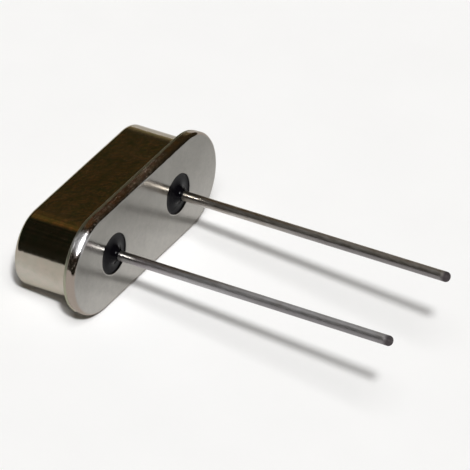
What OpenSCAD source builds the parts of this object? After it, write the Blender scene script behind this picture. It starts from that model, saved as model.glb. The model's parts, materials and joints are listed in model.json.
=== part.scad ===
// Quartz crystal unit in a low, resistance-welded metal case with two wire leads.
//
// Every piece is drawn as it stands on a circuit board: seating face at z = 0, case upwards,
// leads downwards, and X along the row of leads. The finished unit is then laid on its broad
// side, leads towards -Y, where the edge of the flange and the closed edge of the can touch
// the table. The origin stays at the centre of the seating face.

/* [Can] */
// Length of the can over its round ends
can_l = 10.0; // [9.8:0.05:10.4]
// Width of the can across its flat sides
can_w = 3.45; // [3.3:0.05:3.8]
// Height of the closed end above the seating face
can_h = 3.25; // [3.15:0.05:3.6]
// Thickness of the drawn sheet
sheet_t = 0.16; // [0.12:0.01:0.18]
// Outside radius round the closed end
crown_r = 0.2; // [0.2:0.01:0.4]
// Hollow radius where the wall turns out into the flange
draw_r = 0.09; // [0.06:0.01:0.15]

/* [Base] */
// How far the base flange stands out from the can wall
overhang = 0.48; // [0.4:0.01:0.6]
// How much smaller the can's flange is, all round
flange_step = 0.02; // [0:0.01:0.12]
// Thickness of the base flange
flange_t = 0.39; // [0.3:0.01:0.6]
// Radius round the seating face
rim_r = 0.18; // [0.05:0.01:0.25]
// Height of the platform inside the can
platform_h = 0.42; // [0.3:0.01:0.5]
// Gap between the platform and the can wall
platform_gap = 0.14; // [0.1:0.01:0.2]

/* [Leads and seals] */
// Distance between the leads
pitch = 4.88; // [4.8:0.01:5.0]
// Diameter of the lead wire
lead_d = 0.43; // [0.4:0.01:0.5]
// Length of the left lead below the seating face
left_lead_l = 13.05; // [5:0.05:15]
// Length of the right lead below the seating face
right_lead_l = 12.85; // [5:0.05:15]
// Diameter of the nail head inside the can
head_d = 0.8; // [0.7:0.05:0.9]
// Diameter of the glass seals
seal_d = 1.74; // [1.7:0.01:1.8]
// Radius of the fillet of glass that climbs each lead outside
meniscus_r = 0.34; // [0.25:0.01:0.45]
// The same inside the can
inner_meniscus_r = 0.16; // [0.1:0.01:0.2]

/* [Crystal] */
// Resonant frequency in MHz: it sets the thickness of the blank
frequency = 12; // [8:1:30]
// Length of the quartz strip
blank_l = 8.0; // [7.8:0.05:8.1]
// Width of the quartz strip
blank_w = 1.9; // [1.6:0.05:2.0]
// Length of the electrodes, without their tabs
electrode_l = 4.6; // [4:0.1:5]
// Width of the electrodes
electrode_w = 1.5; // [1.2:0.05:1.6]

/* [Spring clips] */
// Thickness of the clip strip
clip_t = 0.1; // [0.08:0.01:0.12]
// Width of the clip strip
clip_w = 1.3; // [1:0.05:1.5]
// Straight height of the riser between the lead and the shelf
riser_h = 0.3; // [0.2:0.01:0.35]
// Straight length of the shelf under the end of the blank
shelf_l = 0.75; // [0.72:0.01:0.8]

/* [Hidden] */
$fn = 64;

// Case: every outline is an obround with the same straight length
straight_l = can_l - can_w;
wall_r = can_w / 2;
flange_r = wall_r + overhang;
can_flange_r = flange_r - flange_step;
platform_r = wall_r - sheet_t - platform_gap;
platform_z = flange_t + platform_h;
platform_edge_r = 0.08;
can_rim_r = 0.06;

// Seals: the glass lies a little below the rounded edge of its hole
seal_r = seal_d / 2;
hole_edge_r = 0.06;
glass_low_z = hole_edge_r;
glass_high_z = platform_z - 0.04;
glass_tip_t = 0.03;
glass_tip_z = glass_low_z - meniscus_r;

// Leads
lead_r = lead_d / 2;
plating_t = 0.01;
bare_r = lead_r - plating_t;
tip_r = 0.09;
head_t = 0.15;
head_z = glass_high_z + inner_meniscus_r + 0.1;
lead_top_z = head_z + head_t;

// Clips, from the lead outwards: foot, riser, shelf and end stop
clip_bend_r = 0.1;
foot_start_x = pitch / 2 - 0.55;
foot_l = 1.25;
stop_h = 0.12;
shelf_x = foot_start_x + foot_l + clip_t + 2 * clip_bend_r;
shelf_z = lead_top_z + riser_h + 2 * (clip_t + clip_bend_r);

// Blank: an AT-cut plate is 1.661 mm thick at 1 MHz
blank_t = 1.661 / frequency;
blank_z = shelf_z + 0.03;
film_t = 0.01;
tab_w = 0.5;
electrode_corner_r = 0.2;

// Cement: a dot as wide as the shelf, which covers the end of the blank
cement_r = shelf_l / 2 - 0.01;
cement_x = shelf_x + shelf_l / 2;
cement_cover = 0.06;

// Angle of a plane that touches the closed edge of the can and, at radius reach and height z, an
// edge of the flange rounded to radius r
function lean(reach, z, r) = let (
    inwards = reach - r - (wall_r - crown_r),
    upwards = can_h - crown_r - (z - r)
) atan(inwards / upwards) - asin((crown_r - r) / norm([inwards, upwards]));

// The unit lies on its broad side on whichever flange stands out further at that angle
rest_tilt = max(lean(flange_r, flange_t, 0), lean(can_flange_r, flange_t + sheet_t, can_rim_r));

nickel_grey = "#b9b3a6";
steel_grey = "#a7a39b";
glass_black = "#26242a";
wire_grey = "#8d8a88";
silver_white = "#d9d9d6";
cement_grey = "#c9c6bd";
quartz_clear = "#e4e8ea";

// From the board to the table
module lay_down() {
    rotate([-90 - rest_tilt, 0, 0])
        children();
}

// Carries a half section, drawn from the Y axis to the right, round an obround
module sweep_obround() {
    for (side = [0, 1])
        mirror([side, 0, 0])
            translate([straight_l / 2, 0, 0])
                rotate([0, 0, -90])
                    rotate_extrude(angle = 180)
                        children();
    rotate([90, 0, 90])
        linear_extrude(straight_l, center = true) {
            children();
            mirror([1, 0, 0])
                children();
        }
}

// What rounding to radius r takes off a square corner at the origin, its body towards +X +Y
module corner_waste(r) {
    difference() {
        square(2 * r, center = true);
        translate([r, r])
            circle(r);
    }
}

// Quarter of a ring in the +X +Y quadrant
module quarter_ring(inside_r, t) {
    difference() {
        intersection() {
            circle(inside_r + t);
            square(inside_r + t);
        }
        circle(inside_r);
    }
}

// Section of a bent sheet of thickness t, walked along +X with the sheet on the left.
// Each step is [straight run, turn, inside radius]; a turn is 1 left, -1 right and 0 at the end.
module bent_sheet(t, steps, i = 0) {
    run = steps[i][0];
    turn = steps[i][1];
    bend_r = steps[i][2];
    square([run, t]);
    if (turn == 1) {
        translate([run, t + bend_r])
            rotate(-90)
                quarter_ring(bend_r, t);
        translate([run + bend_r + t, t + bend_r])
            rotate(90)
                bent_sheet(t, steps, i + 1);
    }
    if (turn == -1) {
        translate([run, -bend_r])
            quarter_ring(bend_r, t);
        translate([run + bend_r, -bend_r])
            rotate(-90)
                bent_sheet(t, steps, i + 1);
    }
}

// The can: one cup drawn from sheet, its open edge turned out into a flange
module can_section() {
    difference() {
        translate([0, can_h - sheet_t])
            bent_sheet(sheet_t, [
                [wall_r - crown_r, -1, crown_r - sheet_t],
                [can_h - crown_r - flange_t - sheet_t - draw_r, 1, draw_r],
                [can_flange_r - wall_r - draw_r, 0, 0]
            ]);
        translate([can_flange_r, flange_t + sheet_t])
            rotate(180)
                corner_waste(can_rim_r);
    }
}

module metal_can() {
    color(nickel_grey)
        lay_down()
            sweep_obround()
                can_section();
}

// The base: a pressed steel plate whose platform stands inside the can
module base_section() {
    difference() {
        union() {
            square([flange_r, flange_t]);
            square([platform_r, platform_z]);
        }
        translate([flange_r, 0])
            rotate(90)
                corner_waste(rim_r);
        translate([platform_r, platform_z])
            rotate(180)
                corner_waste(platform_edge_r);
    }
}

// A hole for a seal, its edge rounded at the seating face
module seal_hole() {
    translate([0, 0, -1])
        cylinder(h = platform_z + 2, r = seal_r);
    rotate_extrude()
        translate([seal_r, 0])
            corner_waste(hole_edge_r);
}

module base_plate() {
    color(steel_grey)
        lay_down()
            difference() {
                sweep_obround()
                    base_section();
                for (side = [-1, 1])
                    translate([side * pitch / 2, 0, 0])
                        seal_hole();
            }
}

// A lead: straight wire with a cropped tip and, inside the can, a nail head. It is plated
// outside the glass, and thins by the thickness of the plating on its way through.
module lead_section(lead_l) {
    difference() {
        union() {
            translate([0, -lead_l])
                square([lead_r, lead_l + glass_tip_z]);
            polygon([[0, glass_tip_z], [lead_r, glass_tip_z], [bare_r, head_z], [0, head_z]]);
            translate([0, head_z])
                square([head_d / 2, head_t]);
        }
        translate([lead_r, -lead_l])
            rotate(90)
                corner_waste(tip_r);
    }
}

module lead(lead_l) {
    color(wire_grey)
        rotate_extrude()
            lead_section(lead_l);
}

// Half section of the glass that climbs a lead by r from a glass face on the X axis
module glass_fillet(r) {
    reach = lead_r + glass_tip_t + r;
    difference() {
        square([reach, r]);
        translate([reach, r])
            circle(r);
    }
}

// A seal: glass melted between plate and lead
module glass_section() {
    difference() {
        union() {
            translate([0, glass_low_z])
                square([seal_r, glass_high_z - glass_low_z]);
            translate([0, glass_low_z])
                mirror([0, 1])
                    glass_fillet(meniscus_r);
            translate([0, glass_high_z])
                glass_fillet(inner_meniscus_r);
        }
        lead_section(left_lead_l);
    }
}

module glass_seal() {
    color(glass_black)
        rotate_extrude()
            glass_section();
}

module glass_seal_left() {
    lay_down()
        translate([-pitch / 2, 0, 0])
            glass_seal();
}

module glass_seal_right() {
    lay_down()
        translate([pitch / 2, 0, 0])
            glass_seal();
}

module lead_left() {
    lay_down()
        translate([-pitch / 2, 0, 0])
            lead(left_lead_l);
}

module lead_right() {
    lay_down()
        translate([pitch / 2, 0, 0])
            lead(right_lead_l);
}

// A spring clip: nickel strip welded to the nail head and stepped up to a shelf for the blank
module spring_clip() {
    color(silver_white)
        translate([foot_start_x, clip_w / 2, lead_top_z])
            rotate([90, 0, 0])
                linear_extrude(clip_w)
                    bent_sheet(clip_t, [
                        [foot_l, 1, clip_bend_r],
                        [riser_h, -1, clip_bend_r],
                        [shelf_l, 1, clip_bend_r],
                        [stop_h, 0, 0]
                    ]);
}

module spring_clip_left() {
    lay_down()
        mirror([1, 0, 0])
            spring_clip();
}

module spring_clip_right() {
    lay_down()
        spring_clip();
}

// The resonator: a strip of quartz
module quartz_strip() {
    translate([-blank_l / 2, -blank_w / 2, blank_z])
        cube([blank_l, blank_w, blank_t]);
}

module quartz_blank() {
    color(quartz_clear)
        lay_down()
            quartz_strip();
}

// An electrode: a silver film with round corners, and a tab that runs to the right-hand end
module electrode() {
    inner_l = electrode_l - 2 * electrode_corner_r;
    inner_w = electrode_w - 2 * electrode_corner_r;
    linear_extrude(film_t) {
        square([inner_l, electrode_w], center = true);
        square([electrode_l, inner_w], center = true);
        for (x = [-1, 1], y = [-1, 1])
            translate([x * inner_l / 2, y * inner_w / 2])
                circle(electrode_corner_r);
        translate([0, -tab_w / 2])
            square([blank_l / 2, tab_w]);
    }
}

module electrode_can_side() {
    color(silver_white)
        lay_down()
            translate([0, 0, blank_z + blank_t])
                electrode();
}

module electrode_base_side() {
    color(silver_white)
        lay_down()
            mirror([1, 0, 0])
                translate([0, 0, blank_z - film_t])
                    electrode();
}

// A dot of conductive cement: it holds the end of the blank to the shelf and joins the clip
// to the electrode whose film lies at film_z
module cement(film_z) {
    dot_h = blank_z + blank_t + film_t + cement_cover - shelf_z;
    difference() {
        translate([cement_x, 0, shelf_z])
            rotate_extrude()
                difference() {
                    square([cement_r, dot_h]);
                    translate([cement_r, dot_h])
                        rotate(180)
                            corner_waste(cement_cover);
                }
        quartz_strip();
        translate([0, 0, film_z])
            electrode();
    }
}

module cement_left() {
    color(cement_grey)
        lay_down()
            mirror([1, 0, 0])
                cement(blank_z - film_t);
}

module cement_right() {
    color(cement_grey)
        lay_down()
            cement(blank_z + blank_t);
}

metal_can();
base_plate();
glass_seal_left();
glass_seal_right();
lead_left();
lead_right();
spring_clip_left();
spring_clip_right();
quartz_blank();
electrode_can_side();
electrode_base_side();
cement_left();
cement_right();
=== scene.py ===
# A low-profile quartz crystal unit, lying on its broad side: smooth pressed and plated skins
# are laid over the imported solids. Sizes are in millimetres, and angles in degrees.
import json
import math
import bmesh
import bpy
import numpy as np
from mathutils import Matrix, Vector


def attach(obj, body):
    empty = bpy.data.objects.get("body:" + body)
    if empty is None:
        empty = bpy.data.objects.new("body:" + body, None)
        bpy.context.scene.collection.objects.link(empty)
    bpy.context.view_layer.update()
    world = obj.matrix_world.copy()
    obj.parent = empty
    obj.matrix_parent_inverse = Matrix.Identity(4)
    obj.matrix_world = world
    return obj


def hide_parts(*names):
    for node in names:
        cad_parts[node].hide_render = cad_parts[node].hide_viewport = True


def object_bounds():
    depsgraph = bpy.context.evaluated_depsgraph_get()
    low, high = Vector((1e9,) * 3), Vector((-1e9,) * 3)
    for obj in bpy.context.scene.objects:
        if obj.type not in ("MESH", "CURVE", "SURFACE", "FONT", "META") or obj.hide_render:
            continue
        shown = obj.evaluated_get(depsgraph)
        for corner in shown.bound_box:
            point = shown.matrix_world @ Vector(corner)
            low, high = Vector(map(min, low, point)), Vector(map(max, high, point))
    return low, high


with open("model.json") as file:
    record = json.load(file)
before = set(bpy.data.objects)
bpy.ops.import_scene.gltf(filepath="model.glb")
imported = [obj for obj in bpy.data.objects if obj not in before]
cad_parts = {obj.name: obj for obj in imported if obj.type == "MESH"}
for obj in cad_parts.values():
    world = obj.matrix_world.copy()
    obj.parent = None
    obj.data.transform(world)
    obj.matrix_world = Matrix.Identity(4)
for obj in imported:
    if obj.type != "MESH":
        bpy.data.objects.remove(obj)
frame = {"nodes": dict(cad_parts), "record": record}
boxAtStart = [list(corner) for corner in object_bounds()]
print("stage: frame loaded,", len(frame["nodes"]), "nodes")

mm = 0.001
floorZ = boxAtStart[0][2]  # in metres, as the frame is
mergeGap = 2e-4  # points of a mesh closer than this are one
thinGap = 1e-5  # shorter edges are dissolved

# The seating face's axis gives the angle at which the unit lies
seatAxis = next(m["axis"] for m in frame["record"]["mounts"] if m["name"] == "seating_face")


def layDown(points):
    # upright drawing (case up, leads down) to the table: z goes against the seating axis,
    # and y across it
    up = -np.array(seatAxis)
    across = np.cross(up, [1, 0, 0])
    return points @ np.array([[1, 0, 0], across, up])


def arc(centre, radius, start, end, steps):
    # points on a circle: centre + radius * (cos, sin), from one angle to the other in degrees
    t = np.radians(np.linspace(start, end, steps + 1))
    return np.stack([centre[0] + radius * np.cos(t), centre[1] + radius * np.sin(t)], 1)


def run(start, end, steps, grip=0.015, furthest=0.25):
    # start + (end - start) * t, with an extra point close to each end, which keeps flats flat
    # in the light; on a short run it stands no further in than a quarter
    start, end = np.array(start, float), np.array(end, float)
    hold = min(furthest, grip / np.linalg.norm(end - start))
    t = np.concatenate([[0, hold], np.linspace(0, 1, steps + 1)[1:-1], [1 - hold, 1]])
    t = np.unique(np.clip(t, 0, 1))
    return start + (end - start) * t[:, None]


def outline(*parts, gap=1e-6):
    # joins the parts of a section and drops repeated points
    line = np.concatenate([np.atleast_2d(p) for p in parts])
    keep = np.concatenate([[True], np.linalg.norm(np.diff(line, axis=0), axis=1) > gap])
    return line[keep]


def obroundPath(straight, arcSteps, straightSteps):
    # stations of a closed obround from (0, +r) clockwise: the x that the centre has reached,
    # and the outward direction there
    half = straight / 2
    x1 = np.linspace(0, half, straightSteps + 1)[:-1]
    turn = np.linspace(90, -90, arcSteps + 1)[:-1]
    x2 = np.linspace(half, -half, 2 * straightSteps + 1)[:-1]
    back = np.linspace(270, 90, arcSteps + 1)[:-1]
    x3 = np.linspace(-half, 0, straightSteps + 1)[:-1]
    x = np.concatenate([x1, np.full(arcSteps, half), x2, np.full(arcSteps, -half), x3])
    angle = np.radians(np.concatenate(
        [np.full(len(x1), 90.0), turn, np.full(len(x2), -90.0), back, np.full(len(x3), 90.0)]))
    return x, np.cos(angle), np.sin(angle)


def sweep(path, section):
    # P(station, point) = station centre + r * outward, at height z, for section points (r, z)
    x, nx, ny = path
    r, z = section[:, 0], section[:, 1]
    return np.stack([
        x[:, None] + nx[:, None] * r,
        ny[:, None] * r,
        np.broadcast_to(z, (len(x), len(z)))], 2)


def revolve(section, steps, centreX=0.0):
    # P(angle, point) = centre + r * (cos, sin), at height z
    angle = np.linspace(0, 2 * np.pi, steps, endpoint=False)
    return sweep((np.full(steps, centreX), np.cos(angle), np.sin(angle)), section)


def gridFaces(rows, cols, closeRows, closeCols, first):
    # quads between neighbouring points of a grid, wrapping round where it is closed
    i = np.arange(rows if closeRows else rows - 1)
    j = np.arange(cols if closeCols else cols - 1)
    i, j = np.meshgrid(i, j, indexing="ij")
    i2, j2 = (i + 1) % rows, (j + 1) % cols
    return first + np.stack([i * cols + j, i * cols + j2, i2 * cols + j2, i2 * cols + j],
                            -1).reshape(-1, 4)


def ripple(points, wavelength, seed, waves=28, spread=(0.7, 1.4)):
    # smooth unevenness: a sum of plane waves cos(k.p + phase) in random directions, near one
    # wavelength, scaled to about -1..1
    rng = np.random.default_rng(seed)
    k = rng.normal(size=(waves, 3))
    length = 2 * np.pi / wavelength * rng.uniform(*spread, waves)
    k *= (length / np.linalg.norm(k, axis=1))[:, None]
    phase = rng.uniform(0, 2 * np.pi, waves)
    return np.cos(points @ k.T + phase).sum(1) / np.sqrt(waves)


def unevenness(points, waves):
    # sum of ripples, each given by its height, wavelength and seed
    return sum(height * ripple(points, wavelength, seed) for height, wavelength, seed in waves)


def buildPiece(name, grids, material, replaced, relief=None, marks=None):
    # grids: (points, closed along rows, closed along columns), upright and in mm;
    # relief gives each point's move along its normal in mm, and marks its named values, which
    # run from about 0 to 1
    points, faces, count = [], [], 0
    for grid, closeRows, closeCols in grids:
        rows, cols = grid.shape[:2]
        points.append(grid.reshape(-1, 3))
        faces.append(gridFaces(rows, cols, closeRows, closeCols, count))
        count += rows * cols
    mesh = bpy.data.meshes.new(name)
    mesh.from_pydata(np.concatenate(points).tolist(), [], np.concatenate(faces).tolist())
    work = bmesh.new()
    work.from_mesh(mesh)
    bmesh.ops.remove_doubles(work, verts=work.verts, dist=mergeGap)
    bmesh.ops.dissolve_degenerate(work, edges=work.edges, dist=thinGap)
    bmesh.ops.recalc_face_normals(work, faces=work.faces)
    openEdges = sum(1 for e in work.edges if len(e.link_faces) != 2)
    work.to_mesh(mesh)
    work.free()
    size = len(mesh.vertices)
    upright = np.empty(size * 3)
    mesh.vertices.foreach_get("co", upright)
    upright = upright.reshape(-1, 3)
    normals = np.empty(size * 3)
    mesh.vertex_normals.foreach_get("vector", normals)
    moved = upright.copy()
    if relief:
        moved += relief(upright)[:, None] * normals.reshape(-1, 3)
    mesh.vertices.foreach_set("co", (layDown(moved) * mm).ravel())
    for markName, values in (marks(upright) if marks else {}).items():
        mesh.attributes.new(markName, "FLOAT", "POINT").data.foreach_set("value", values)
    mesh.polygons.foreach_set("use_smooth", np.ones(len(mesh.polygons), bool))
    mesh.materials.append(material)
    mesh.update()
    piece = bpy.data.objects.new(name, mesh)
    bpy.context.scene.collection.objects.link(piece)
    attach(piece, "root")
    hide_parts(*replaced)
    triangles = sum(len(p.vertices) - 2 for p in mesh.polygons)
    print("stage: made", name, "with", triangles, "triangles and", openEdges, "open edges")


def plainDistance(points, straight):
    # distance from the obround's middle line, which is the r of its section
    x = np.abs(points[:, 0]) - straight / 2
    return np.hypot(np.maximum(x, 0), points[:, 1])


def smoothStep(value, low, high):
    # 0 up to low, 1 from high on, and 3t^2 - 2t^3 in between
    t = np.clip((value - low) / (high - low), 0, 1)
    return t * t * (3 - 2 * t)


def band(value, rise, fall):
    # climbs from 0 to 1 over the rise, and goes back to 0 over the fall
    return smoothStep(value, *rise) * (1 - smoothStep(value, *fall))


def towardsRim(r, c, depths):
    # 0 deeper inside the flange's edge than the first depth, 1 nearer to it than the second
    return smoothStep(r, c["flangeR"] - depths[0], c["flangeR"] - depths[1])


def pressedRelief(points, c):
    # sheet is never quite flat: long soft waves all over and lumps where the rim was sheared,
    # all of it sunk a little so that it stays inside the solid's box
    height, wavelength, seed, level = c["lumps"]
    rim = towardsRim(plainDistance(points, straight), c, c["lumpFade"])
    lumps = height * rim * (ripple(points, wavelength, seed) - level)
    return unevenness(points, c["waves"]) - c["sunk"] + lumps


def toLinear(hexText):
    # sRGB hex to the linear values that the shader takes
    c = np.array([int(hexText[i:i + 2], 16) / 255 for i in (1, 3, 5)])
    return (*np.where(c <= 0.04045, c / 12.92, ((c + 0.055) / 1.055) ** 2.4), 1.0)


def addNode(tree, kind, settings=None, inputs=None):
    # a node with its settings, each input linked to a socket or set to a value
    node = tree.nodes.new(kind)
    for key, value in (settings or {}).items():
        setattr(node, key, value)
    for key, value in (inputs or {}).items():
        if isinstance(value, bpy.types.NodeSocket):
            tree.links.new(value, node.inputs[key])
        else:
            node.inputs[key].default_value = value
    return node


def newMaterial(name):
    # an empty material with its tree, its Principled shader and its place in millimetres
    material = bpy.data.materials.new(name)
    material.use_nodes = True
    tree = material.node_tree
    tree.nodes.clear()
    shader = addNode(tree, "ShaderNodeBsdfPrincipled")
    addNode(tree, "ShaderNodeOutputMaterial", inputs={"Surface": shader.outputs[0]})
    place = addNode(tree, "ShaderNodeTexCoord")
    place = addNode(tree, "ShaderNodeMapping",
                    inputs={"Vector": place.outputs["Object"], "Scale": (1 / mm,) * 3})
    return material, tree, shader, place.outputs[0]


# Noise gathers round 0.5: the narrower the span cut from it, the harder its patches
softSpan = {"From Min": 0.3, "From Max": 0.7}
clearSpan = {"From Min": 0.35, "From Max": 0.65}

# Knock on the rim's corner: direction round the near end from the upper side, lean towards
# the leads, depth, rounding and unevenness, then the middle, half sizes, fade and finish of
# the scuffed patch round it
bruise = {
    "phi": 37, "tilt": 23, "depth": 0.026, "soft": 0.01, "waves": ((0.003, 0.3, 24),),
    "patchPhi": 35, "patchZ": 0.17, "halfPhi": 20, "halfZ": 0.47, "patchFade": (0.4, 1.0),
    "colour": "#d2d1d3", "roughness": 0.47, "pitMm": 0.16, "pitDepth": 0.035,
}


def platedMetal(name, look):
    # nickel plating on pressed metal: faint clouds and haze keep the mirror from looking dead,
    # the peel makes reflections shimmer, and the cut edge is duller, with freckles and bright
    # burrs where it tore
    material, tree, shader, place = newMaterial(name)
    cloud = addNode(tree, "ShaderNodeTexNoise", inputs={
        "Vector": place, "Scale": 1 / look["cloudMm"], "Detail": 4.0, "Roughness": 0.55})
    cloud = addNode(tree, "ShaderNodeMapRange", inputs={
        "Value": cloud.outputs[0], **softSpan,
        "To Min": -look["cloudShare"], "To Max": look["cloudShare"]})
    # painted shade: this attribute, with the clouds, mixes the colour towards the darker tone,
    # which serves both the random clouds and the painted shade
    toneAndPaintedShade = addNode(tree, "ShaderNodeAttribute", {"attribute_name": "toneAndPaintedShade"})
    amount = addNode(tree, "ShaderNodeMath", {"operation": "ADD", "use_clamp": True}, {
        0: toneAndPaintedShade.outputs["Fac"], 1: cloud.outputs[0]})
    colour = addNode(tree, "ShaderNodeMix", {"data_type": "RGBA"}, {
        0: amount.outputs[0], 6: toLinear(look["colour"]), 7: toLinear(look["stainAndShade"])})
    mottle = addNode(tree, "ShaderNodeTexNoise", inputs={
        "Vector": place, "Scale": 1 / look["mottleMm"], "Detail": 3.0, "Roughness": 0.7})
    mottle = addNode(tree, "ShaderNodeMapRange", inputs={
        "Value": mottle.outputs[0], **clearSpan})
    mottle = addNode(tree, "ShaderNodeMix", {"data_type": "RGBA"}, {
        0: mottle.outputs[0], 6: toLinear(look["mottle"][0]), 7: toLinear(look["mottle"][1])})
    patina = addNode(tree, "ShaderNodeAttribute", {"attribute_name": "patina"})
    colour = addNode(tree, "ShaderNodeMix", {"data_type": "RGBA", "blend_type": "MULTIPLY"}, {
        0: patina.outputs["Fac"], 6: colour.outputs[2], 7: mottle.outputs[2]})
    haze = addNode(tree, "ShaderNodeTexNoise", inputs={
        "Vector": place, "Scale": 1 / look["hazeMm"], "Detail": 5.0, "Roughness": 0.6})
    rough = addNode(tree, "ShaderNodeMapRange", inputs={
        "Value": haze.outputs[0], **softSpan,
        "To Min": look["roughness"][0], "To Max": look["roughness"][1]})
    peel = addNode(tree, "ShaderNodeTexNoise", inputs={
        "Vector": place, "Scale": 1 / look["peelMm"], "Detail": 2.0, "Roughness": 0.5})
    slack = addNode(tree, "ShaderNodeAttribute", {"attribute_name": "slack"})
    bump = addNode(tree, "ShaderNodeBump", inputs={
        "Height": peel.outputs[0], "Distance": look["peelDepth"] * mm,
        "Strength": slack.outputs["Fac"]})
    edgeColour = toLinear(look["edge"])
    if "torn" in look:
        tear = look["torn"]
        torn = addNode(tree, "ShaderNodeAttribute", {"attribute_name": "torn"})
        freckle = addNode(tree, "ShaderNodeTexNoise", inputs={
            "Vector": place, "Scale": 1 / tear["freckleMm"], "Detail": 3.0, "Roughness": 0.6})
        freckle = addNode(tree, "ShaderNodeMapRange", inputs={
            "Value": freckle.outputs[0], "From Min": 0.42, "From Max": 0.62})
        freckle = addNode(tree, "ShaderNodeMath", {"operation": "MULTIPLY"}, {
            0: freckle.outputs[0], 1: torn.outputs["Fac"]})
        edgeColour = addNode(tree, "ShaderNodeMix", {"data_type": "RGBA"}, {
            0: freckle.outputs[0], 6: edgeColour, 7: toLinear(tear["freckle"])}).outputs[2]
        burr = addNode(tree, "ShaderNodeTexNoise", inputs={
            "Vector": place, "Scale": 1 / tear["burrMm"], "Detail": 2.0})
        burr = addNode(tree, "ShaderNodeMapRange", {"interpolation_type": "SMOOTHSTEP"}, {
            "Value": burr.outputs[0], "From Min": 0.6, "From Max": 0.7})
        burr = addNode(tree, "ShaderNodeMath", {"operation": "MULTIPLY"}, {
            0: burr.outputs[0], 1: torn.outputs["Fac"]})
        bump = addNode(tree, "ShaderNodeBump", inputs={
            "Height": burr.outputs[0], "Distance": tear["burrHeight"] * mm, "Strength": 1.0,
            "Normal": bump.outputs[0]})
    edge = addNode(tree, "ShaderNodeAttribute", {"attribute_name": "cutEdge"})
    colour = addNode(tree, "ShaderNodeMix", {"data_type": "RGBA"}, {
        0: edge.outputs["Fac"], 6: colour.outputs[2], 7: edgeColour})
    rough = addNode(tree, "ShaderNodeMix", {"data_type": "FLOAT"}, {
        0: edge.outputs["Fac"], 2: rough.outputs[0], 3: look["edgeRoughness"]})
    scuff = addNode(tree, "ShaderNodeAttribute", {"attribute_name": "scuff"})
    colour = addNode(tree, "ShaderNodeMix", {"data_type": "RGBA"}, {
        0: scuff.outputs["Fac"], 6: colour.outputs[2], 7: toLinear(bruise["colour"])})
    rough = addNode(tree, "ShaderNodeMix", {"data_type": "FLOAT"}, {
        0: scuff.outputs["Fac"], 2: rough.outputs[0], 3: bruise["roughness"]})
    pit = addNode(tree, "ShaderNodeTexNoise", inputs={
        "Vector": place, "Scale": 1 / bruise["pitMm"], "Detail": 2.0, "Roughness": 0.6})
    bump = addNode(tree, "ShaderNodeBump", inputs={
        "Height": pit.outputs[0], "Distance": bruise["pitDepth"] * mm,
        "Strength": scuff.outputs["Fac"], "Normal": bump.outputs[0]})
    shader.inputs["Metallic"].default_value = 1.0
    shader.inputs["Specular Tint"].default_value = toLinear(look["grazing"])
    tree.links.new(colour.outputs[2], shader.inputs["Base Color"])
    tree.links.new(rough.outputs[0], shader.inputs["Roughness"])
    tree.links.new(bump.outputs[0], shader.inputs["Normal"])
    return material


def turnNearEnd(points):
    # direction round the near end in degrees: 0 on the upper side, 90 at the very end
    return np.degrees(np.arctan2(-points[:, 0] - straight / 2, -points[:, 1]))


def scuffAmount(points):
    # 1 in the middle of the rubbed patch round the knock, fading out to its edge
    phi = turnNearEnd(points)
    away = np.hypot((phi - bruise["patchPhi"]) / bruise["halfPhi"],
                    (points[:, 2] - bruise["patchZ"]) / bruise["halfZ"])
    return 1 - smoothStep(away, *bruise["patchFade"])


can = {
    "length": 10.0, "width": 3.45, "height": 3.25, "sheet": 0.16,
    "crownR": 0.2, "drawR": 0.09, "flangeR": 2.185, "rimR": 0.06, "seat": 0.39,
    "arcSteps": 90, "straightSteps": 26,
    # unevenness: height, wavelength and seed; the lumps' last value is the level they sit at
    "waves": ((0.0012, 2.2, 11), (0.0004, 0.7, 12)), "sunk": 0.004,
    "lumps": (0.003, 0.3, 13, 1), "lumpFade": (0.08, 0.02),
    # marks: depths inside the flange's edge, then r where the closed end turns into the wall,
    # x past the straight walls, and angles round the near end; stretched is the share of their
    # slack that the ends lost, and closedEnd what is left there of the mottling
    # the near side's angles, the turn and the swing place the painted shade on the near end
    "cutFade": (0.05, 0.01), "scuffFade": (0.2, 0.0), "wallFade": (1.3, 1.65),
    "endFade": (-0.5, 0.5), "nearSide": ((55, 70), (130, 170)),
    "shoulder": ((-10, 10), (50, 66)), "shadeTurn": (70, 108), "toneLevel": 0.5,
    "shadeSwing": 0.6, "stretched": 0.75, "closedEnd": 0.3,
}
straight = can["length"] - can["width"]

brightNickel = platedMetal("brightNickelCan", {
    "colour": "#b6b0a8", "stainAndShade": "#a8a095", "cloudMm": 1.4, "cloudShare": 0.5, "hazeMm": 0.5,
    "mottleMm": 0.34, "mottle": ("#fff0e6", "#c6dcc8"), "roughness": (0.09, 0.14),
    "edge": "#9a9a88", "edgeRoughness": 0.4, "peelMm": 0.17, "peelDepth": 0.009,
    "grazing": "#d8d4cc",
})


def canSection(c):
    # one sheet: out along the closed end, round the crown, down the wall, out into the flange,
    # and back along its inner side; each run and arc ends with its count of steps
    wallR, t = c["width"] / 2, c["sheet"]
    crown = (wallR - c["crownR"], c["height"] - c["crownR"])
    bend = (wallR + c["drawR"], c["seat"] + t + c["drawR"])
    return outline(
        run((0, c["height"]), (crown[0], c["height"]), 12),
        arc(crown, c["crownR"], 90, 0, 12),
        run((wallR, crown[1]), (wallR, bend[1]), 16),
        arc(bend, c["drawR"], 180, 270, 8),
        run((bend[0], c["seat"] + t), (c["flangeR"] - c["rimR"], c["seat"] + t), 4),
        arc((c["flangeR"] - c["rimR"], c["seat"] + t - c["rimR"]), c["rimR"], 90, 0, 5),
        run((c["flangeR"], c["seat"] + t - c["rimR"]), (c["flangeR"], c["seat"]), 3),
        run((c["flangeR"], c["seat"]), (bend[0], c["seat"]), 4),
        arc(bend, c["drawR"] + t, 270, 180, 6),
        run((wallR - t, bend[1]), (wallR - t, crown[1]), 6),
        arc(crown, c["crownR"] - t, 0, 90, 5),
        run((crown[0], c["height"] - t), (0, c["height"] - t), 4))


def canRelief(points):
    # long soft waves and an uneven cut edge
    return pressedRelief(points, can)


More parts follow.
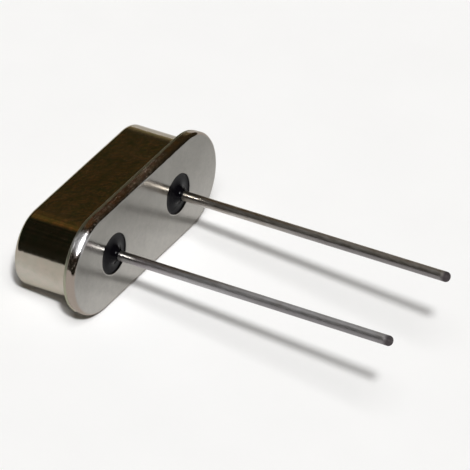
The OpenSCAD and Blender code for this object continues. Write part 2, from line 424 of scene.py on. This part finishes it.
def canMarks(points):
    # the broad walls are slack, wavier and more mottled, the ends were stretched smooth and the
    # closed end is cleaner; the near end carries painted shade, darker above and lighter towards
    # its underside
    r = plainDistance(points, straight)
    phi = turnNearEnd(points)
    wall = smoothStep(r, *can["wallFade"])
    slack = 1 - can["stretched"] * smoothStep(
        np.abs(points[:, 0]) - straight / 2, *can["endFade"])
    side = wall * band(phi, *can["nearSide"])
    shoulder = wall * band(phi, *can["shoulder"])
    # painted shade: round the near end the colour swings darker towards the upper part and
    # lighter towards the underside
    swing = can["shadeSwing"] * (1 - 2 * smoothStep(phi, *can["shadeTurn"]))
    cleaner = can["closedEnd"] + (1 - can["closedEnd"]) * wall
    return {"cutEdge": towardsRim(r, can, can["cutFade"]),
            "scuff": scuffAmount(points) * towardsRim(r, can, can["scuffFade"]),
            "toneAndPaintedShade": can["toneLevel"] + side * swing,
            "slack": slack,
            "patina": np.maximum(slack, shoulder) * cleaner}


canPath = obroundPath(straight, can["arcSteps"], can["straightSteps"])
buildPiece("can_skin", [(sweep(canPath, canSection(can)), True, False)], brightNickel,
           ["metal_can"], canRelief, canMarks)


base = {
    "flangeR": 2.205, "flange": 0.39, "rimR": 0.18, "platformR": 1.425, "platformZ": 0.81,
    "platformEdgeR": 0.08, "pitch": 4.88, "holeR": 0.87, "holeEdgeR": 0.06,
    "arcSteps": 180, "straightSteps": 80, "midSteps": 28, "faceSteps": 16, "topSteps": 6,
    # unevenness and marks as for the can, then -y and -x over which the edge gets more torn,
    # and -y over which the face gets darker, a painted shade
    "waves": ((0.001, 1.8, 21), (0.0002, 0.6, 22)), "sunk": 0.003,
    "lumps": (0.0035, 0.45, 23, 1.6), "lumpFade": (0.16, 0.04),
    "cutFade": (0.14, 0.06), "scuffFade": (0.3, 0.1), "tornFade": (0.1, 0.02),
    "tornUp": (0.8, 1.6), "tornAlong": (-2.5, 1.0), "shadeUp": (-1.9, 1.9),
}

satinNickel = platedMetal("satinNickelBase", {
    "colour": "#a8a5a1", "stainAndShade": "#8c8a86", "cloudMm": 1.2, "cloudShare": 0.15, "hazeMm": 0.5,
    "mottleMm": 0.2, "mottle": ("#ffffff", "#f4f6f6"), "roughness": (0.14, 0.19),
    "edge": "#988d84", "edgeRoughness": 0.14, "peelMm": 0.2, "peelDepth": 0.0005,
    "torn": {"freckle": "#9c7660", "freckleMm": 0.16, "burrMm": 0.05, "burrHeight": 0.035},
    "grazing": "#e4e1dc",
})


def baseOutside(b):
    # from the seating face round the rim, up the flange, in to the platform and up to its top
    rim, step = b["flangeR"] - b["rimR"], b["platformR"] - b["platformEdgeR"]
    stepZ = b["platformZ"] - b["platformEdgeR"]
    return outline(
        arc((rim, b["rimR"]), b["rimR"], 270, 360, 12),
        run((b["flangeR"], b["rimR"]), (b["flangeR"], b["flange"]), 7),
        run((b["flangeR"], b["flange"]), (b["platformR"], b["flange"]), 6),
        run((b["platformR"], b["flange"]), (b["platformR"], stepZ), 4),
        arc((step, stepZ), b["platformEdgeR"], 0, 90, 6))


def halfOutline(path, radius, midSteps):
    # right half of an obround of that radius, then back up the middle line: closed loop (x, y)
    x, nx, ny = path
    half = len(x) // 2 + 1
    curve = np.stack([x[:half] + nx[:half] * radius, ny[:half] * radius], 1)
    mid = np.linspace(-radius, radius, midSteps + 1)[1:-1]
    return np.concatenate([curve, np.stack([np.zeros_like(mid), mid], 1)])


def ruledFace(loop, angle, centreX, radius, z, steps, grip=0.015):
    # P(u, v) = straight rule from the loop at u to the hole's edge at the same u, with an
    # extra point close to each end
    edge = np.stack([centreX + radius * np.cos(angle), radius * np.sin(angle)], 1)
    t = np.unique(np.concatenate(
        [[0, grip], np.linspace(0, 1, steps + 1)[1:-1], [1 - grip, 1]]))
    flat = loop[:, None, :] + (edge - loop)[:, None, :] * t[None, :, None]
    return np.concatenate([flat, np.full(flat.shape[:2] + (1,), z)], 2)


def holeSurface(angle, centreX, b):
    # rounded edge at the seating face, then the wall of the hole up to the platform
    section = outline(
        arc((b["holeR"] + b["holeEdgeR"], b["holeEdgeR"]), b["holeEdgeR"], 270, 180, 6),
        run((b["holeR"], b["holeEdgeR"]), (b["holeR"], b["platformZ"]), 6))
    ring = (np.full(len(angle), centreX), np.cos(angle), np.sin(angle))
    return sweep(ring, section)


def baseGrids(b):
    # the swept outside, then for each half the seating face, the hole and the platform's top
    path = obroundPath(straight, b["arcSteps"], b["straightSteps"])
    grids = [(sweep(path, baseOutside(b)), True, False)]
    low = halfOutline(path, b["flangeR"] - b["rimR"], b["midSteps"])
    high = halfOutline(path, b["platformR"] - b["platformEdgeR"], b["midSteps"])
    centreX = b["pitch"] / 2
    angle = np.unwrap(np.arctan2(low[:, 1], low[:, 0] - centreX))
    mouthR = b["holeR"] + b["holeEdgeR"]
    for side in (1, -1):
        for grid in (ruledFace(low, angle, centreX, mouthR, 0.0, b["faceSteps"]),
                     holeSurface(angle, centreX, b),
                     ruledFace(high, angle, centreX, b["holeR"], b["platformZ"], b["topSteps"])):
            grids.append((grid * [side, 1, 1], True, False))
    return grids


def bruiseAmount(points):
    # how far each point stands above the uneven plane of the bruise, rounded off where it is
    # near to it: soft * log(1 + exp(above / soft))
    phi, tilt = math.radians(bruise["phi"]), math.radians(bruise["tilt"])
    facing = np.array([-math.sin(phi) * math.cos(tilt), -math.cos(phi) * math.cos(tilt),
                       -math.sin(tilt)])
    ring = base["flangeR"] - base["rimR"]
    top = np.array([-straight / 2 - ring * math.sin(phi), -ring * math.cos(phi), base["rimR"]])
    above = (points - top) @ facing - base["rimR"] + bruise["depth"]
    above += unevenness(points, bruise["waves"])
    return bruise["soft"] * np.logaddexp(0, above / bruise["soft"])


def baseRelief(points):
    # a pressed face with soft waves, a rim that is a little lumpy where it was sheared, and
    # one flattened bruise on its corner
    return pressedRelief(points, base) - bruiseAmount(points)


def baseMarks(points):
    # the rim is torn on its upper side, most towards the near end and not where the knock
    # rubbed it, and the face has painted shade, darker towards its upper side
    r = plainDistance(points, straight)
    scuff = scuffAmount(points) * towardsRim(r, base, base["scuffFade"])
    torn = towardsRim(r, base, base["tornFade"]) * (1 - scuff)
    torn *= smoothStep(-points[:, 1], *base["tornUp"])
    torn *= smoothStep(-points[:, 0], *base["tornAlong"])
    return {"cutEdge": towardsRim(r, base, base["cutFade"]), "torn": torn, "scuff": scuff,
            "toneAndPaintedShade": smoothStep(-points[:, 1], *base["shadeUp"]),
            "slack": np.ones(len(points)), "patina": np.ones(len(points))}


buildPiece("base_skin", baseGrids(base), satinNickel, ["base_plate"],
           baseRelief, baseMarks)


seal = {
    "holeR": 0.87, "lowZ": 0.06, "highZ": 0.77, "leadR": 0.215, "tipT": 0.03,
    "meniscusW": 0.52, "meniscusH": 0.34, "innerR": 0.16, "wetR": 0.04, "steps": 128,
    "spill": 0.01,  # how far the glass spreads over the rounded edge of its hole
    "boreTaper": 0.008,  # how much closer it grips the lead at its inner end
    "colours": ("#060508", "#0a090c"), "cloudMm": 0.35, "ringRoughness": (0.25, 0.35),
    "wetRoughness": 0.03, "wetFade": (0.36, 0.46), "waveMm": 0.3, "waveDepth": 0.002,
    "ior": 1.52, "specularLevel": 0.07,
}


def sealGlassMaterial(s):
    # near-black sealing glass: plating and cleaning left its flat ring satin, so it mirrors
    # the lead softly, while the fillet on the lead stays fire-polished and wet-looking
    material, tree, shader, place = newMaterial("darkSealGlass")
    cloud = addNode(tree, "ShaderNodeTexNoise", inputs={
        "Vector": place, "Scale": 1 / s["cloudMm"], "Detail": 3.0})
    colour = addNode(tree, "ShaderNodeMix", {"data_type": "RGBA"}, {
        0: cloud.outputs[0], 6: toLinear(s["colours"][0]), 7: toLinear(s["colours"][1])})
    dull = addNode(tree, "ShaderNodeMapRange", inputs={
        "Value": cloud.outputs[0],
        "To Min": s["ringRoughness"][0], "To Max": s["ringRoughness"][1]})
    wet = addNode(tree, "ShaderNodeAttribute", {"attribute_name": "wet"})
    rough = addNode(tree, "ShaderNodeMix", {"data_type": "FLOAT"}, {
        0: wet.outputs["Fac"], 2: dull.outputs[0], 3: s["wetRoughness"]})
    wave = addNode(tree, "ShaderNodeTexNoise", inputs={
        "Vector": place, "Scale": 1 / s["waveMm"], "Detail": 1.0})
    bump = addNode(tree, "ShaderNodeBump", inputs={
        "Height": wave.outputs[0], "Distance": s["waveDepth"] * mm, "Strength": 1.0})
    shader.inputs["IOR"].default_value = s["ior"]
    shader.inputs["Specular IOR Level"].default_value = s["specularLevel"]
    tree.links.new(colour.outputs[2], shader.inputs["Base Color"])
    tree.links.new(rough.outputs[0], shader.inputs["Roughness"])
    tree.links.new(bump.outputs[0], shader.inputs["Normal"])
    return material


def sealSection(s):
    # ring of glass that fills its hole and climbs the lead in a fillet on both sides
    foot = s["leadR"] + s["tipT"] + s["meniscusW"]
    top = s["leadR"] + s["tipT"] + s["innerR"]
    lowest, highest = s["lowZ"] - s["meniscusH"], s["highZ"] + s["innerR"]
    return outline(
        (s["holeR"], s["highZ"]),
        run((s["holeR"], s["highZ"]), (s["holeR"], s["lowZ"]), 6),
        (s["holeR"] + s["spill"], s["lowZ"] - s["wetR"]),
        arc((s["holeR"] - s["wetR"], s["lowZ"] - s["wetR"]), s["wetR"], 0, 90, 6),
        run((s["holeR"] - s["wetR"], s["lowZ"]), (foot, s["lowZ"]), 8),
        arc((0, 0), 1, 90, 180, 26) * [s["meniscusW"], s["meniscusH"]] + [foot, lowest],
        run((s["leadR"], lowest), (s["leadR"] - s["boreTaper"], highest), 6),
        (s["leadR"] + s["tipT"], highest),
        arc((top, highest), s["innerR"], 180, 270, 8),
        run((top, s["highZ"]), (s["holeR"], s["highZ"]), 4))


def sealMarks(points):
    # wet on the steep part of the fillet by the lead, and satin further out
    r = np.hypot(np.abs(points[:, 0]) - base["pitch"] / 2, points[:, 1])
    return {"wet": 1 - smoothStep(r, *seal["wetFade"])}


darkGlass = sealGlassMaterial(seal)
for sideName, side in (("left", -1), ("right", 1)):
    section = sealSection(seal)
    grid = revolve(section, seal["steps"], side * base["pitch"] / 2)
    buildPiece("seal_" + sideName, [(grid, True, True)], darkGlass,
               ["glass_seal_" + sideName], marks=sealMarks)


lead = {
    "radius": 0.215, "bareR": 0.205, "glassTipZ": -0.28, "headZ": 1.03, "headT": 0.15,
    "headR": 0.40, "tipR": 0.17, "left": 13.05, "right": 12.85, "steps": 56, "alongSteps": 170,
    "waves": ((0.0006, 1.3, 31),), "sunk": 0.0015,  # height, wavelength and seed
    # marks: the upright direction in which the wire's far upper side faces, shares of the
    # radius that way or against it, and distances down from the seating face or up the tip
    "farSide": (0.68, -0.73), "dullSide": (0.1, 0.7), "shadeSide": (0, 0.4),
    "rootEnds": (0.7, 1.5), "drawnFrom": (1.2, 2.5), "dullFrom": (3, 8), "shadeFrom": (2, 8),
    "rootShadeSpan": ((0.8, 1.2), (1.8, 4.5)), "tipFade": (0.4, 0.14),
}


def leadSection(c, length):
    # cropped tip, wire, thinner stretch in the glass, nail head
    return outline(
        run((0, -length), (c["radius"] - c["tipR"], -length), 3),
        arc((c["radius"] - c["tipR"], -length + c["tipR"]), c["tipR"], 270, 360, 12),
        run((c["radius"], -length + c["tipR"]), (c["radius"], c["glassTipZ"]), c["alongSteps"]),
        run((c["radius"], c["glassTipZ"]), (c["bareR"], c["headZ"]), 5),
        run((c["bareR"], c["headZ"]), (c["headR"], c["headZ"]), 2),
        run((c["headR"], c["headZ"]), (c["headR"], c["headZ"] + c["headT"]), 2),
        run((c["headR"], c["headZ"] + c["headT"]), (0, c["headZ"] + c["headT"]), 3))


def leadRelief(points):
    # drawn wire, straightened by rollers: the faintest wave along it
    return unevenness(points, lead["waves"]) - lead["sunk"]


def leadMarks(points):
    # side: about 1 on the far upper side of the wire, and -1 on its near lower side
    down = -points[:, 2]
    length = np.where(points[:, 0] < 0, lead["left"], lead["right"])
    out = points[:, :2] - np.stack([np.sign(points[:, 0]) * base["pitch"] / 2,
                                    np.zeros(len(points))], 1)
    side = out @ lead["farSide"] / lead["radius"]
    tipStart, tipEnd = lead["tipFade"]
    return {"root": 1 - smoothStep(down, *lead["rootEnds"]),
            "drawn": smoothStep(down, *lead["drawnFrom"]),
            "dull": smoothStep(side, *lead["dullSide"]) * smoothStep(down, *lead["dullFrom"]),
            # painted shade: darker on the wire's near lower side, a little way out from the base
            "undersideShade": smoothStep(-side, *lead["shadeSide"])
            * smoothStep(down, *lead["shadeFrom"]),
            "tip": smoothStep(down, length - tipStart, length - tipEnd),
            # painted shade: a darker band just past the root
            "rootShade": band(down, *lead["rootShadeSpan"])}


# What both wires share: the lines left by drawing, and the tones of their marks
wireFinish = {
    "linesMm": 0.07, "linesAlong": 0.06,  # share of their scale that is left along the wire
    "lineDepth": 0.0003, "patchMm": 0.5,
    # two of these tones are painted shade: the band past the root and the near lower side
    "tones": {"rootShade": "#7d7175", "undersideShade": "#787476", "tip": "#5c5557"},
    "rootRoughness": 0.3, "tipRoughness": 0.5,
}


def leadMaterial(name, look):
    # tinned wire, drawn and handled: a grey satin with faint lines along it and darker patches,
    # painted shade past the root and along the near lower side, and a brighter, smoother root
    # where it leaves the glass
    material, tree, shader, place = newMaterial(name)
    alongWire = addNode(tree, "ShaderNodeMapping", {"vector_type": "POINT"}, {
        "Vector": place, "Scale": (1.0, wireFinish["linesAlong"], 1.0)})
    lines = addNode(tree, "ShaderNodeTexNoise", inputs={
        "Vector": alongWire.outputs[0], "Scale": 1 / wireFinish["linesMm"], "Detail": 4.0,
        "Roughness": 0.6})
    patch = addNode(tree, "ShaderNodeTexNoise", inputs={
        "Vector": place, "Scale": 1 / wireFinish["patchMm"], "Detail": 5.0, "Roughness": 0.6})
    amount = addNode(tree, "ShaderNodeMapRange", inputs={
        "Value": patch.outputs[0], "From Min": 0.35, "From Max": 0.7})
    colour = addNode(tree, "ShaderNodeMix", {"data_type": "RGBA"}, {
        0: amount.outputs[0], 6: toLinear(look["colour"]), 7: toLinear(look["shade"])})
    for markName, tone in wireFinish["tones"].items():
        share = addNode(tree, "ShaderNodeAttribute", {"attribute_name": markName})
        share = addNode(tree, "ShaderNodeMath", {"operation": "MULTIPLY"}, {
            0: share.outputs["Fac"], 1: look[markName]})
        colour = addNode(tree, "ShaderNodeMix", {"data_type": "RGBA"}, {
            0: share.outputs[0], 6: colour.outputs[2], 7: toLinear(tone)})
    rough = addNode(tree, "ShaderNodeMapRange", inputs={
        "Value": lines.outputs[0], **softSpan,
        "To Min": look["roughness"][0], "To Max": look["roughness"][1]})
    addUp = {"operation": "MULTIPLY_ADD", "use_clamp": True}
    for markName, more in (("dull", look["dull"]), ("tip", wireFinish["tipRoughness"])):
        share = addNode(tree, "ShaderNodeAttribute", {"attribute_name": markName})
        rough = addNode(tree, "ShaderNodeMath", addUp, {
            0: share.outputs["Fac"], 1: more, 2: rough.outputs[0]})
    root = addNode(tree, "ShaderNodeAttribute", {"attribute_name": "root"})
    rough = addNode(tree, "ShaderNodeMix", {"data_type": "FLOAT"}, {
        0: root.outputs["Fac"], 2: rough.outputs[0], 3: wireFinish["rootRoughness"]})
    drawn = addNode(tree, "ShaderNodeAttribute", {"attribute_name": "drawn"})
    bump = addNode(tree, "ShaderNodeBump", inputs={
        "Height": lines.outputs[0], "Distance": wireFinish["lineDepth"] * mm,
        "Strength": drawn.outputs["Fac"]})
    shader.inputs["Metallic"].default_value = 1.0
    tree.links.new(colour.outputs[2], shader.inputs["Base Color"])
    tree.links.new(rough.outputs[0], shader.inputs["Roughness"])
    tree.links.new(bump.outputs[0], shader.inputs["Normal"])
    return material


wireLooks = {  # shares of each mark's tone: the painted shade past the root and on the near lower side, and the tip; dull is added roughness
    "left": {"colour": "#b9b8ba", "shade": "#a7a4a3", "roughness": (0.37, 0.48),
             "rootShade": 0.5, "undersideShade": 0.8, "tip": 0.85, "dull": 0.45},
    "right": {"colour": "#b6b2ad", "shade": "#a0988f", "roughness": (0.3, 0.41),
              "rootShade": 0.1, "undersideShade": 0.8, "tip": 0.95, "dull": 0.2},
}
for sideName, side in (("left", -1), ("right", 1)):
    wire = leadMaterial("tinnedWire" + sideName.capitalize(), wireLooks[sideName])
    grid = revolve(leadSection(lead, lead[sideName]), lead["steps"], side * base["pitch"] / 2)
    buildPiece("wire_" + sideName, [(grid, True, False)], wire,
               ["lead_" + sideName], leadRelief, leadMarks)


def simpleFinish(name, look):
    # hidden pieces: two close tones, a grain and its bump
    material, tree, shader, place = newMaterial(name)
    grain = addNode(tree, "ShaderNodeTexNoise", inputs={
        "Vector": place, "Scale": 1 / look["grainMm"], "Detail": 4.0})
    colour = addNode(tree, "ShaderNodeMix", {"data_type": "RGBA"}, {
        0: grain.outputs[0], 6: toLinear(look["colour"]), 7: toLinear(look["shade"])})
    rough = addNode(tree, "ShaderNodeMapRange", inputs={
        "Value": grain.outputs[0],
        "To Min": look["roughness"][0], "To Max": look["roughness"][1]})
    bump = addNode(tree, "ShaderNodeBump", inputs={
        "Height": grain.outputs[0], "Distance": look["depth"] * mm, "Strength": 1.0})
    shader.inputs["Metallic"].default_value = look.get("metallic", 0.0)
    shader.inputs["Transmission Weight"].default_value = look.get("clear", 0.0)
    shader.inputs["IOR"].default_value = look.get("ior", 1.5)
    tree.links.new(colour.outputs[2], shader.inputs["Base Color"])
    tree.links.new(rough.outputs[0], shader.inputs["Roughness"])
    tree.links.new(bump.outputs[0], shader.inputs["Normal"])
    return material


inner = {
    "spring_clip_left": "clip", "spring_clip_right": "clip", "quartz_blank": "quartz",
    "electrode_can_side": "silver", "electrode_base_side": "silver",
    "cement_left": "cement", "cement_right": "cement",
}
innerLooks = {
    # rolled nickel silver has a soft yellowish sheen
    "clip": simpleFinish("nickelSilverStrip", {
        "colour": "#c9c3b4", "shade": "#b3ac9c", "grainMm": 0.2, "roughness": (0.2, 0.35),
        "depth": 0.002, "metallic": 1.0}),
    # lapped quartz is clear with a fine frost
    "quartz": simpleFinish("lappedQuartz", {
        "colour": "#eef1f1", "shade": "#e2e7e8", "grainMm": 0.03, "roughness": (0.2, 0.32),
        "depth": 0.001, "clear": 1.0, "ior": 1.544}),
    # an evaporated silver film is a pale mirror, dulled by the lapped face under it
    "silver": simpleFinish("evaporatedSilver", {
        "colour": "#e6e4dd", "shade": "#d8d5cc", "grainMm": 0.05, "roughness": (0.15, 0.25),
        "depth": 0.0005, "metallic": 1.0}),
    # cured cement full of silver flakes is a rough, matt grey
    "cement": simpleFinish("silverFilledCement", {
        "colour": "#b9b6ad", "shade": "#9f9b92", "grainMm": 0.04, "roughness": (0.5, 0.7),
        "depth": 0.004, "metallic": 0.3}),
}
for nodeName, key in inner.items():
    node = frame["nodes"][nodeName]
    if not node.data.materials:
        node.data.materials.append(None)
    for slot in node.material_slots:
        slot.material = innerLooks[key]
print("stage: inner pieces finished")


paper = {  # in metres
    "rings": (0, 0.02, 0.06, 0.15, 0.3, 0.5), "radius": 0.7, "steps": 96,
    "lip": 0.047, "lipEnd": 355, "lipSteps": 10,
    "flatTowards": -119, "flatFade": (0.15, 0.35),
    "colour": "#fbfbfb", "shade": "#f7f7f7", "fibreMm": 3.0, "roughness": 0.9,
    "specularLevel": 0.2,
}


def buildFloor(c):
    # a wide sheet of matt paper, which keeps shadows soft and shows no shine; its rim curls up
    # a little, so that it also closes the horizon, and on one side it lies flat
    section = np.concatenate([
        [[ring, 0] for ring in c["rings"]],
        arc((c["radius"] - c["lip"], c["lip"]), c["lip"], 270, c["lipEnd"], c["lipSteps"])])
    grid = revolve(section, c["steps"])
    aside = 1 - grid[..., :2] @ direction(c["flatTowards"], 0)[:2] / c["radius"]
    grid[..., 2] *= smoothStep(aside, *c["flatFade"])
    points = grid.reshape(-1, 3) + [0, 0, floorZ]
    faces = gridFaces(c["steps"], len(section), True, False, 0)
    mesh = bpy.data.meshes.new("floor")
    mesh.from_pydata(points.tolist(), [], faces.tolist())
    mesh.polygons.foreach_set("use_smooth", np.ones(len(mesh.polygons), bool))
    material, tree, shader, place = newMaterial("palePaper")
    fibre = addNode(tree, "ShaderNodeTexNoise", inputs={
        "Vector": place, "Scale": 1 / c["fibreMm"], "Detail": 3.0})
    colour = addNode(tree, "ShaderNodeMix", {"data_type": "RGBA"}, {
        0: fibre.outputs[0], 6: toLinear(c["colour"]), 7: toLinear(c["shade"])})
    tree.links.new(colour.outputs[2], shader.inputs["Base Color"])
    shader.inputs["Roughness"].default_value = c["roughness"]
    shader.inputs["Specular IOR Level"].default_value = c["specularLevel"]
    mesh.materials.append(material)
    floor = bpy.data.objects.new("floor", mesh)
    bpy.context.scene.collection.objects.link(floor)


def direction(azimuth, elevation):
    # from the object towards a lamp or camera; azimuth 0 is the -Y side
    a, e = math.radians(azimuth), math.radians(elevation)
    return np.array([math.sin(a) * math.cos(e), -math.cos(a) * math.cos(e), math.sin(e)])


lamps = {  # level is what a white surface that faces the lamp would reach
    "flash": {"azimuth": -57, "elevation": 56, "level": 0.68, "width": 6},
    "softKey": {"azimuth": -62, "elevation": 68, "level": 0.42, "width": 30},
}


def addSun(name, azimuth, elevation, level, width):
    # a white lamp so far off that its light is parallel, as wide in the sky as its width
    light = bpy.data.lights.new(name, "SUN")
    light.energy = level * math.pi
    light.angle = math.radians(width)
    lamp = bpy.data.objects.new(name, light)
    bpy.context.scene.collection.objects.link(lamp)
    towards = direction(azimuth, elevation)
    side = np.cross([0, 0, 1], towards)
    side /= np.linalg.norm(side)
    axes = np.stack([side, np.cross(towards, side), towards], 1)
    lamp.matrix_world = Matrix(axes.tolist()).to_4x4()


room = {
    "dark": "#28261f",
    "glows": [  # azimuth, elevation, radii of the full and the fading part, colour
        (105, 20, 18, 62, "#493f2f"),
        (122, 1, 2, 20, "#9e9174"),
        (134, 36, 3, 13, "#5f4b2f"),
        (148, 46, 4, 11, "#735a37"),
    ],
    "clutterScale": 22.0, "clutterLevel": (0.1, 1.9),
    "tintScale": 19.0, "tints": ((1.22, 0.95, 0.8, 1), (0.78, 1.05, 0.95, 1)),
}


def buildRoom(r):
    # what the metal mirrors beyond the table: a dim olive room, brown to the right, with a warm
    # lamp-lit patch and a low pale glow; the mottling stands for its furniture
    world = bpy.data.worlds.new("dimRoom")
    bpy.context.scene.world = world
    world.use_nodes = True
    tree = world.node_tree
    look = addNode(tree, "ShaderNodeTexCoord").outputs["Generated"]
    colour = toLinear(r["dark"])
    for azimuth, elevation, full, faded, glow in r["glows"]:
        near = addNode(tree, "ShaderNodeVectorMath", {"operation": "DOT_PRODUCT"}, {
            0: look, 1: direction(azimuth, elevation).tolist()})
        amount = addNode(tree, "ShaderNodeMapRange", {"interpolation_type": "SMOOTHSTEP"}, {
            "Value": near.outputs["Value"], "From Min": math.cos(math.radians(faded)),
            "From Max": math.cos(math.radians(full))})
        colour = addNode(tree, "ShaderNodeMix", {"data_type": "RGBA"}, {
            0: amount.outputs[0], 6: colour, 7: toLinear(glow)}).outputs[2]
    clutter = addNode(tree, "ShaderNodeTexNoise", inputs={
        "Vector": look, "Scale": r["clutterScale"], "Detail": 3.0, "Roughness": 0.7})
    clutter = addNode(tree, "ShaderNodeMapRange", inputs={
        "Value": clutter.outputs[0], "From Min": 0.34, "From Max": 0.66,
        "To Min": r["clutterLevel"][0], "To Max": r["clutterLevel"][1]})
    tint = addNode(tree, "ShaderNodeTexNoise", inputs={
        "Vector": look, "Scale": r["tintScale"], "Detail": 3.0, "Roughness": 0.6})
    tint = addNode(tree, "ShaderNodeMapRange", inputs={
        "Value": tint.outputs[0], **clearSpan})
    tint = addNode(tree, "ShaderNodeMix", {"data_type": "RGBA"}, {
        0: tint.outputs[0], 6: r["tints"][0], 7: r["tints"][1]})
    for factor in (clutter.outputs[0], tint.outputs[2]):
        colour = addNode(tree, "ShaderNodeMix", {
            "data_type": "RGBA", "blend_type": "MULTIPLY"}, {
            0: 1.0, 6: colour, 7: factor}).outputs[2]
    tree.links.new(colour, tree.nodes["Background"].inputs["Color"])


buildFloor(paper)
buildRoom(room)
for name, lamp in lamps.items():
    addSun(name, **lamp)
print("stage: floor, room and lamps set")


viewpoint = {  # aim: how far right and up of the middle the object's origin is seen
    "azimuth": -63.155, "elevation": 39.54, "roll": 7.826, "distance": 236.7,
    "lens": 444.38, "sensor": 36, "aim": (-3.596, 0.461),
    "clip": (0.01, 10),  # in metres
}


def addCamera(v):
    # looks back along its own direction, rolled about it, and moved aside so that it aims
    # beside the origin
    back = direction(v["azimuth"], v["elevation"])
    a, roll = math.radians(v["azimuth"]), math.radians(v["roll"])
    level = np.array([math.cos(a), math.sin(a), 0])
    upright = np.cross(back, level)
    right = math.cos(roll) * level + math.sin(roll) * upright
    up = -math.sin(roll) * level + math.cos(roll) * upright
    place = v["distance"] * back - v["aim"][0] * right - v["aim"][1] * up
    data = bpy.data.cameras.new("camera")
    data.lens = v["lens"]
    data.sensor_width = v["sensor"]
    data.clip_start, data.clip_end = v["clip"]
    camera = bpy.data.objects.new("camera", data)
    bpy.context.scene.collection.objects.link(camera)
    matrix = Matrix(np.stack([right, up, back], 1).tolist()).to_4x4()
    matrix.translation = (place * mm).tolist()
    camera.matrix_world = matrix
    bpy.context.scene.camera = camera


addCamera(viewpoint)
bpy.context.scene.view_settings.view_transform = "Standard"
bpy.context.view_layer.update()

print("stage: done")
